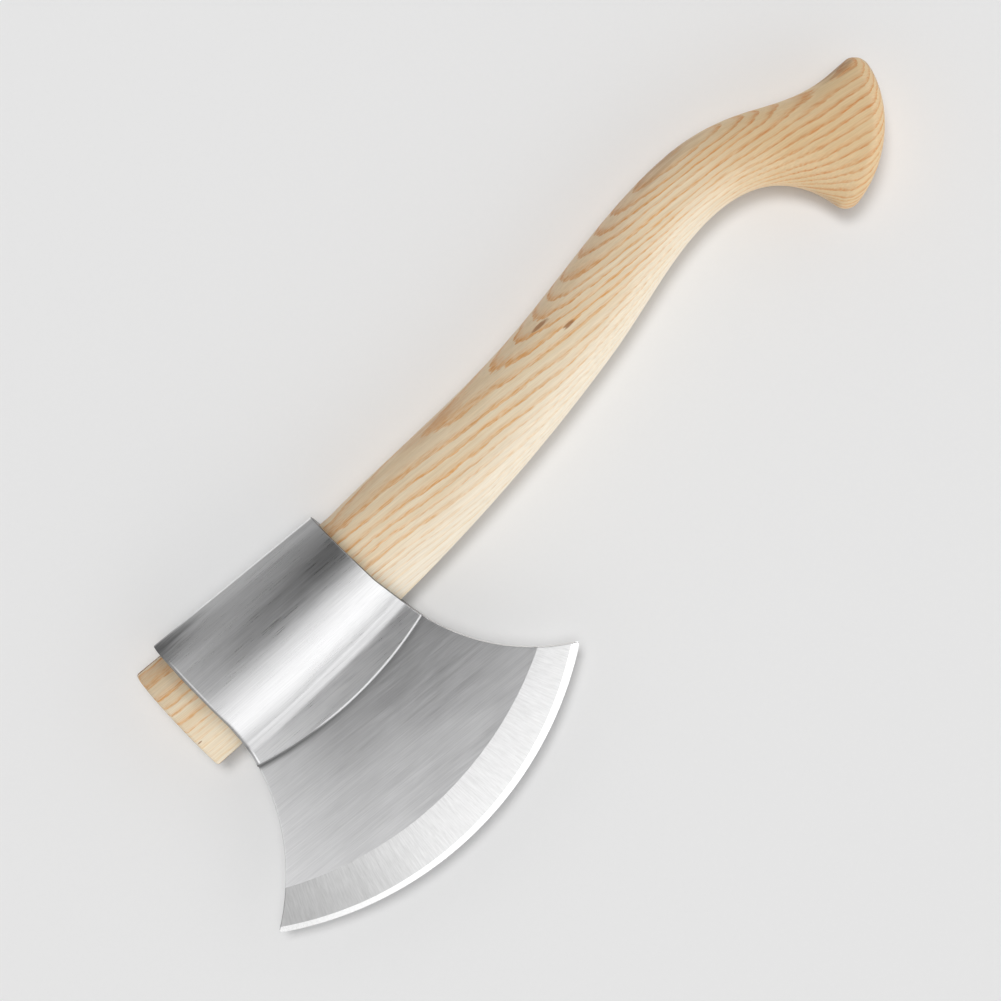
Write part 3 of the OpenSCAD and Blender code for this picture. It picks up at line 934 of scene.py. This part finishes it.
def make_blade():
    rims = [SIDE_ROUND * (1 - math.sin(math.radians(a))) for a in SIDE_TURN]
    rims += [SIDE_ROUND + GUARD]
    tips = []
    for side_c, side_r, which in ((TOE_C, TOE_R, -1), (HEEL_C, HEEL_R, 1)):
        centre = meet(EDGE_C, EDGE_R - TIP_ROUND, side_c, side_r + TIP_ROUND, which)
        normals = [
            (centre - EDGE_C) / np.linalg.norm(centre - EDGE_C),
            (side_c - centre) / np.linalg.norm(side_c - centre),
        ]
        tips.append((centre, normals))
    top, rows = [], blade_rows()
    for curve, half_t in rows:
        x_toe = solve(lambda x: toe_side_x(curve(x)) - x, *TOE_SEARCH)
        x_heel = solve(lambda x: heel_side_x(curve(x)) - x, *HEEL_SEARCH)
        line = [(x_toe + e, e) for e in rims]
        for t in np.linspace(0, 1, BLADE_COLUMNS + 2)[1:-1]:
            line.append((mix(x_toe + rims[-1], x_heel - rims[-1], t), SIDE_ROUND))
        line += [(x_heel - e, e) for e in reversed(rims)]
        for x, e in line:
            round_z = min(SIDE_ROUND, 0.8 * half_t)
            depth = max(0.0, 1 - e / SIDE_ROUND)
            drop = round_z * (1 - math.sqrt(1 - depth**2))
            p = np.array([x, curve(x)])
            for centre, normals in tips:
                p = round_tip(p, centre, normals)
            top.append((p[0], p[1], half_t - drop))
    columns = len(line)
    top = np.array(top)
    points = np.concatenate([top, top * [1, 1, -1]])
    below = len(top)
    faces, slots = [], []
    hone_row = next(i for i, r in enumerate(rows) if r[1] == HONE_HALF_T)
    bevel_row = max(i for i, r in enumerate(rows) if r[1] == BLADE_HALF_T)
    for i in range(len(rows) - 1):
        slot = 0 if i < bevel_row else 1 if i < hone_row else 2
        for j in range(columns - 1):
            a = i * columns + j
            for shift in (0, below):
                faces.append([a + shift, a + 1 + shift, a + 1 + columns + shift, a + columns + shift])
                slots.append(slot)
        for j in (0, columns - 1):
            a = i * columns + j
            faces.append([a, a + columns, a + columns + below, a + below])
            slots.append(min(slot, 1))
    for i in (0, len(rows) - 1):
        for j in range(columns - 1):
            a = i * columns + j
            faces.append([a, a + 1, a + 1 + below, a + below])
            slots.append(2 if i else 0)
    return make_object(
        "blade_ground", points, faces, [cheek_steel, bevel_steel, hone_steel], slots, sharp=24
    )


# ----------------------------------------
# Handle
# ----------------------------------------

TURNS = 96
STRAIGHT = 0.01  # a bow in degrees too small to see


def tongue_back_y(x):
    return poll_y(x) - SHEET_T - FIT_GAP


BACK = (
    (TONGUE_END_X, tongue_back_y(TONGUE_END_X), 0.085),
    (150.0, 28.8, 0.14),
    (246.0, 43.28, 0.0),
    (285.0, 34.7, -0.43),
    (318.0, 25.3, 0.0),
    (330.0, 25.5, 0.0),
)
BELLY = (
    (TONGUE_END_X, tongue_belly_y(TONGUE_END_X), 0.07),
    (180.0, -2.5, 0.236),
    (247.5, 12.8, 0.0),
)
HALF_TS = (
    (TONGUE_END_X, TONGUE_HALF_T, 0.0),
    (150.0, 13.5, 0.0),
    (246.0, 12.7, 0.0),
    (330.0, KNOB_HALF_T, 0.0),
)


def eye_half_z(d):
    """Half the height inside the sleeve, at a distance from its widest line towards the blade."""
    tangent_d = CREASE_RUN * (FLANK_R - SHEET_T) / (FLANK_R + CREASE_R)
    if d < tangent_d:
        return SLEEVE_HALF_T - FLANK_R + math.sqrt((FLANK_R - SHEET_T) ** 2 - d**2)
    return LAP_TOP + CREASE_R - math.sqrt((CREASE_R + SHEET_T) ** 2 - (CREASE_RUN - d) ** 2)


def turn_angles():
    return [2 * math.pi * i / TURNS for i in range(TURNS)]


def tongue_section(x):
    """(s, z) round the tongue, where s runs from -1 at the belly to 1 at the back."""
    back_y, belly_y, apex = tongue_back_y(x), tongue_belly_y(x), apex_y(x)
    mid, half = (back_y + belly_y) / 2, (back_y - belly_y) / 2
    section = []
    for a in turn_angles():
        c, s = math.cos(a), math.sin(a)
        y = apex + (back_y - apex) * c if c > 0 else apex + (apex - belly_y) * c
        if c > 0:
            z = TONGUE_HALF_T * s
        else:
            eased = 1 - max(0.0, 1 - abs(s) / BELLY_ROUND) ** BELLY_ROUND_POWER
            z = math.copysign(1.0, s) * (eye_half_z(apex - y) - FIT_GAP) * math.sqrt(eased)
        section.append(((y - mid) / half, z))
    return section


def oval_section(half_t):
    section = []
    for a in turn_angles():
        c, s = math.cos(a), math.sin(a)
        section.append(
            (
                math.copysign(abs(c) ** (2 / GRIP_ROUND), c),
                half_t * math.copysign(abs(s) ** (2 / GRIP_ROUND), s),
            )
        )
    return section


def ring(section, back_p, belly_p, bow=STRAIGHT):
    """A ring with its back and belly at two points, bowed outwards by an angle in degrees."""
    mid, up = (back_p + belly_p) / 2, (back_p - belly_p) / 2
    out = np.array([up[1], -up[0]])
    b = math.radians(bow)
    points = []
    for s, z in section:
        p = mid + (up * math.sin(s * b) + out * (math.cos(s * b) - math.cos(b))) / math.sin(b)
        points.append((p[0], p[1], z))
    return points


def tongue_ring(x, inset=0.0):
    lean = STUB_LEAN * max(0.0, LEAN_START_X - x) / (STUB_X + LEAN_START_X)
    section = [(s, z * (1 - inset / TONGUE_HALF_T)) for s, z in tongue_section(x)]
    back_p = np.array([x - lean / 2, tongue_back_y(x) - inset])
    belly_p = np.array([x + lean / 2, tongue_belly_y(x) + inset])
    return ring(section, back_p, belly_p)


def grip_ring(x):
    t = smooth((x - TONGUE_END_X) / (MORPH_END_X - TONGUE_END_X))
    tear, oval = tongue_section(TONGUE_END_X), oval_section(hermite(HALF_TS, x))
    section = [(mix(a[0], b[0], t), mix(a[1], b[1], t)) for a, b in zip(tear, oval)]
    return ring(section, np.array([x, hermite(BACK, x)]), np.array([x, hermite(BELLY, x)]))


KNOB_TIP = arc_point(KNOB_C, RIM_C_R, KNOB_A[1] + WALL_A)
KNOB_BEAK = arc_point(KNOB_C, RIM_C_R, KNOB_A[0] - WALL_A)
KNOB_MID_A = (KNOB_A[0] + KNOB_A[1]) / 2
KNOB_HALF_A = (KNOB_A[1] - KNOB_A[0]) / 2
KNOB_START = np.array(BELLY[2][:2])
KNOB_END_HALF_T = hermite(HALF_TS, KNOB_TIP[0])


def knob_ring(t):
    """The knob fans out from a straight ring to one bowed like its end face."""
    x = mix(KNOB_START[0], KNOB_TIP[0], t)
    back_p = np.array([x, mix(hermite(BACK, x), KNOB_TIP[1], t**4)])
    belly_p = bezier(
        KNOB_START,
        KNOB_START + np.array([BELLY_PULL, 0]),
        KNOB_BEAK - BEAK_PULL * arc_point((0, 0), 1, KNOB_A[0]),
        KNOB_BEAK,
        t,
    )
    bow = max(STRAIGHT, (KNOB_HALF_A + WALL_A) * t**1.5)
    return ring(oval_section(hermite(HALF_TS, x)), back_p, belly_p, bow)


def face_ring(r, half_span, half_t):
    points = []
    for s, z in oval_section(half_t):
        p = arc_point(KNOB_C, r, KNOB_MID_A + s * half_span)
        points.append((p[0], p[1], z))
    return points


def rim_ring(degrees):
    a = math.radians(degrees)
    out_r = RIM_C_R + RIM_R * math.sin(a)
    return face_ring(
        out_r,
        KNOB_HALF_A + math.degrees(math.atan(RIM_R * math.cos(a) / out_r)),
        KNOB_END_HALF_T - RIM_R * (1 - math.cos(a)),
    )


def stub_rings():
    """The stub's rounded end, and the tongue down to the low mouth of the sleeve."""
    rings = []
    for a in np.radians(np.linspace(90, 0, 7)):
        inset = STUB_ROUND * (1 - math.cos(a))
        rings.append(tongue_ring(-STUB_X + STUB_ROUND * (1 - math.sin(a)), inset))
    rings += [tongue_ring(x) for x in np.linspace(-STUB_X + STUB_ROUND, TONGUE_END_X, 42)[1:]]
    return rings


def handle_rings():
    rings = stub_rings()
    rings += [grip_ring(x) for x in np.linspace(TONGUE_END_X, KNOB_START[0], 100)[1:-1]]
    rings += [knob_ring(t) for t in np.linspace(0, 1, 44)[:-1]]
    rings += [rim_ring(a) for a in np.linspace(0, 90, 13)]
    for f in np.linspace(1, 0.04, 16)[1:]:
        rings.append(face_ring(KNOB_R, f * KNOB_HALF_A, f * (KNOB_END_HALF_T - RIM_R)))
    return rings


def wedge_prism(name, length, head_t, point_t, width, centre_y, across):
    """A wedge along +X from the stub's end, thin in Z, or in Y where it lies across."""
    past = 5.0
    head, point = (head_t + (head_t - point_t) * past / length) / 2, point_t / 2
    points = []
    for side in (-width / 2, width / 2):
        for x, thick in ((-past, head), (length, point), (length, -point), (-past, -head)):
            y, z = (thick, side) if across else (side, thick)
            points.append((x - STUB_X, y + centre_y, z))
    faces = [[0, 1, 2, 3], [7, 6, 5, 4]]
    faces += [[i, (i + 1) % 4, (i + 1) % 4 + 4, i + 4] for i in range(4)]
    return make_object(name, points, faces, [])


def kerf_shape(gap):
    length, head_t, point_t = KERF_DEPTH + gap, KERF_W + gap, SAW_W + gap
    return wedge_prism("kerf", length, head_t, point_t, 4 * SLEEVE_HALF_T, 0, False)


def cross_shape(side, gap):
    y = CROSS_MID_Y + side * CROSS_GAP / 2
    length, head_t, point_t = CROSS_LEN + gap, CROSS_T + gap, CROSS_POINT_T + gap
    return wedge_prism("cross", length, head_t, point_t, CROSS_W + gap, y, True)


# The handle's middle line and mean half width, which the ash's colours follow.
HUMP_X = BACK[2][0]
FIT_X = np.linspace(TONGUE_END_X, HUMP_X, 40)
FIT_ENDS = np.array([(hermite(BACK, x), hermite(BELLY, x)) for x in FIT_X])
MIDDLE_FIT = [float(c) for c in np.polyfit(FIT_X, FIT_ENDS.mean(axis=1), 2)]
HALF_FIT = float((FIT_ENDS[:, 0] - FIT_ENDS[:, 1]).mean() / 2)


def make_handle():
    ash = ash_material()
    handle = skin("handle_turned", handle_rings(), [ash])
    cut(handle, kerf_shape(WEDGE_GAP), "DIFFERENCE")
    for side in (-1, 1):
        cut(handle, cross_shape(side, WEDGE_GAP), "DIFFERENCE")
    return handle


def make_wedges():
    """The wooden wedge, and the two steel ones driven across it."""
    wooden = skin("kerf_wedge_sawn", stub_rings(), [wedge_wood])
    cut(wooden, kerf_shape(0), "INTERSECT")
    for side in (-1, 1):
        cut(wooden, cross_shape(side, WEDGE_GAP), "DIFFERENCE")
    ride_and_replace(wooden, "kerf_wedge")
    for side, name in ((-1, "cross_wedge_low"), (1, "cross_wedge_high")):
        steel = skin(name, stub_rings(), [wedge_steel])
        cut(steel, cross_shape(side, 0), "INTERSECT")
        ride_and_replace(steel, "cross_wedges")


ride_and_replace(make_sleeve(), "eye_sleeve")
ride_and_replace(make_blade(), "blade")
ride_and_replace(make_handle(), "handle")
make_wedges()

# ----------------------------------------
# Floor, light and camera
# ----------------------------------------


HEAD = Vector(to_frame((0.0, 0.0, 0.0)))
FLOOR_HALF = 6.0
CAMERA_HEIGHT, VIEW_WIDTH, SENSOR_WIDTH = 1.4, 0.4004, 36.0
VIEW_MIDDLE = (106.3, -17.8, 0.0)  # under the middle of the picture, in mm from the eye
HANDLE_RISE = 40.8  # the handle's slope in the picture, in degrees

# Panels over the hatchet: name, reach in x and in y in metres from the head, and radiance.
PANEL_HEIGHT = 0.60
PANELS = (
    ("edge_near", (0.02, 0.85), (-0.42, -0.175), 1.30),
    ("edge_mid", (-0.10, 0.02), (-0.42, -0.175), 1.15),
    ("edge_far", (-0.25, 0.90), (-1.10, -0.42), 1.35),
    ("toe_side", (-0.55, -0.095), (-0.20, 0.65), 1.00),
    ("toe_corner", (-0.95, -0.10), (-0.90, -0.20), 0.80),
    ("knob_side", (0.55, 1.25), (-0.50, 0.90), 1.5),
)

# Suns over the floor: name, the way up to each, strength, and how wide it looks in degrees.
SUNS = (
    ("floor_fill", (0.0, 0.0, 1.0), 0.86, 28.0),
    ("shadow_maker", (0.13, 0.65, 2.6), 0.95, 15.0),
)


def make_floor():
    mesh = bpy.data.meshes.new("floor")
    ends = (-FLOOR_HALF, FLOOR_HALF)
    corners = [(x, y, cad_low.z) for y in ends for x in (ends if y < 0 else ends[::-1])]
    mesh.from_pydata(corners, [], [[0, 1, 2, 3]])
    g = Graph("pale_floor")
    speck = g.noise(g.place_mm(), (1.5, 1.5, 1.5), 2.0, shift=51.0)
    level = g.span(speck, 0.2, 0.8, 0.995, 1.005, smoothed=False)
    g.surface(g.dim(g.join(0.88, 0.88, 0.88), level), 0.9, Specular_IOR_Level=0.1)
    mesh.materials.append(g.material)
    floor = bpy.data.objects.new("floor", mesh)
    bpy.context.scene.collection.objects.link(floor)
    return floor


def add_light(data, offset, receivers):
    """Places a light from the head. It lights only its receivers, and isn't seen by the camera."""
    light = bpy.data.objects.new(data.name, data)
    light.location = HEAD + Vector(offset)
    light.visible_camera = False
    light.light_linking.receiver_collection = receivers
    bpy.context.scene.collection.objects.link(light)
    return light


def soft_panel(name, x_range, y_range, radiance, receivers):
    """A soft light of an even radiance, facing down."""
    size = (x_range[1] - x_range[0], y_range[1] - y_range[0])
    data = bpy.data.lights.new(name, "AREA")
    data.shape = "RECTANGLE"
    data.size, data.size_y = size
    data.energy = radiance * math.pi * size[0] * size[1]
    add_light(data, (sum(x_range) / 2, sum(y_range) / 2, PANEL_HEIGHT), receivers)


def soft_sun(name, way_up, strength, angle, receivers):
    """Even light over the whole floor from one side, with soft shadows."""
    data = bpy.data.lights.new(name, "SUN")
    data.energy, data.angle = strength, math.radians(angle)
    light = add_light(data, way_up, receivers)
    light.rotation_mode = "QUATERNION"
    light.rotation_quaternion = Vector(way_up).to_track_quat("Z", "Y")


def make_world(overhead, dark_side, bright_side, backdrop):
    """Faint light from all round, weakest overhead and brightest on the cutting edge's side.
    The camera itself sees a plain pale backdrop."""
    world = bpy.data.worlds.new("studio")
    world.use_nodes = True
    tree = world.node_tree

    def span(value, low, high, to_low, to_high):
        node = tree.nodes.new("ShaderNodeMapRange")
        for key, number in zip(range(5), (value, low, high, to_low, to_high)):
            if isinstance(number, bpy.types.NodeSocket):
                tree.links.new(number, node.inputs[key])
            else:
                node.inputs[key].default_value = number
        return node.outputs[0]

    split = tree.nodes.new("ShaderNodeSeparateXYZ")
    tree.links.new(tree.nodes.new("ShaderNodeTexCoord").outputs["Generated"], split.inputs[0])
    level = span(split.outputs["Y"], -0.7, 0.7, bright_side, dark_side)
    level = span(split.outputs["Z"], 0.5, 0.88, level, overhead)
    seen = tree.nodes.new("ShaderNodeLightPath").outputs["Is Camera Ray"]
    level = span(seen, 0.0, 1.0, level, backdrop)
    tree.links.new(level, tree.nodes["Background"].inputs["Strength"])
    tree.nodes["Background"].inputs["Color"].default_value = (1, 1, 1, 1)
    bpy.context.scene.world = world


def make_camera():
    """Straight above the handle, with a long lens, turned so that the handle runs to the upper right."""
    data = bpy.data.cameras.new("camera")
    data.sensor_width = SENSOR_WIDTH
    data.lens = SENSOR_WIDTH * CAMERA_HEIGHT / VIEW_WIDTH
    data.clip_start, data.clip_end = 0.05, 20.0
    camera = bpy.data.objects.new("camera", data)
    camera.location = to_frame(VIEW_MIDDLE) + (0.0, 0.0, CAMERA_HEIGHT)
    camera.rotation_euler = (0, 0, math.radians(-HANDLE_RISE))
    bpy.context.scene.collection.objects.link(camera)
    bpy.context.scene.camera = camera


def collect(name, objects):
    made = bpy.data.collections.new(name)
    for obj in objects:
        made.objects.link(obj)
    return made


hatchet_only = collect("hatchet_only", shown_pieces())
floor_only = collect("floor_only", [make_floor()])
make_world(overhead=0.04, dark_side=0.45, bright_side=0.8, backdrop=0.8)
for panel in PANELS:
    soft_panel(*panel, hatchet_only)
for sun in SUNS:
    soft_sun(*sun, floor_only)
make_camera()
bpy.context.scene.view_settings.view_transform = "Standard"
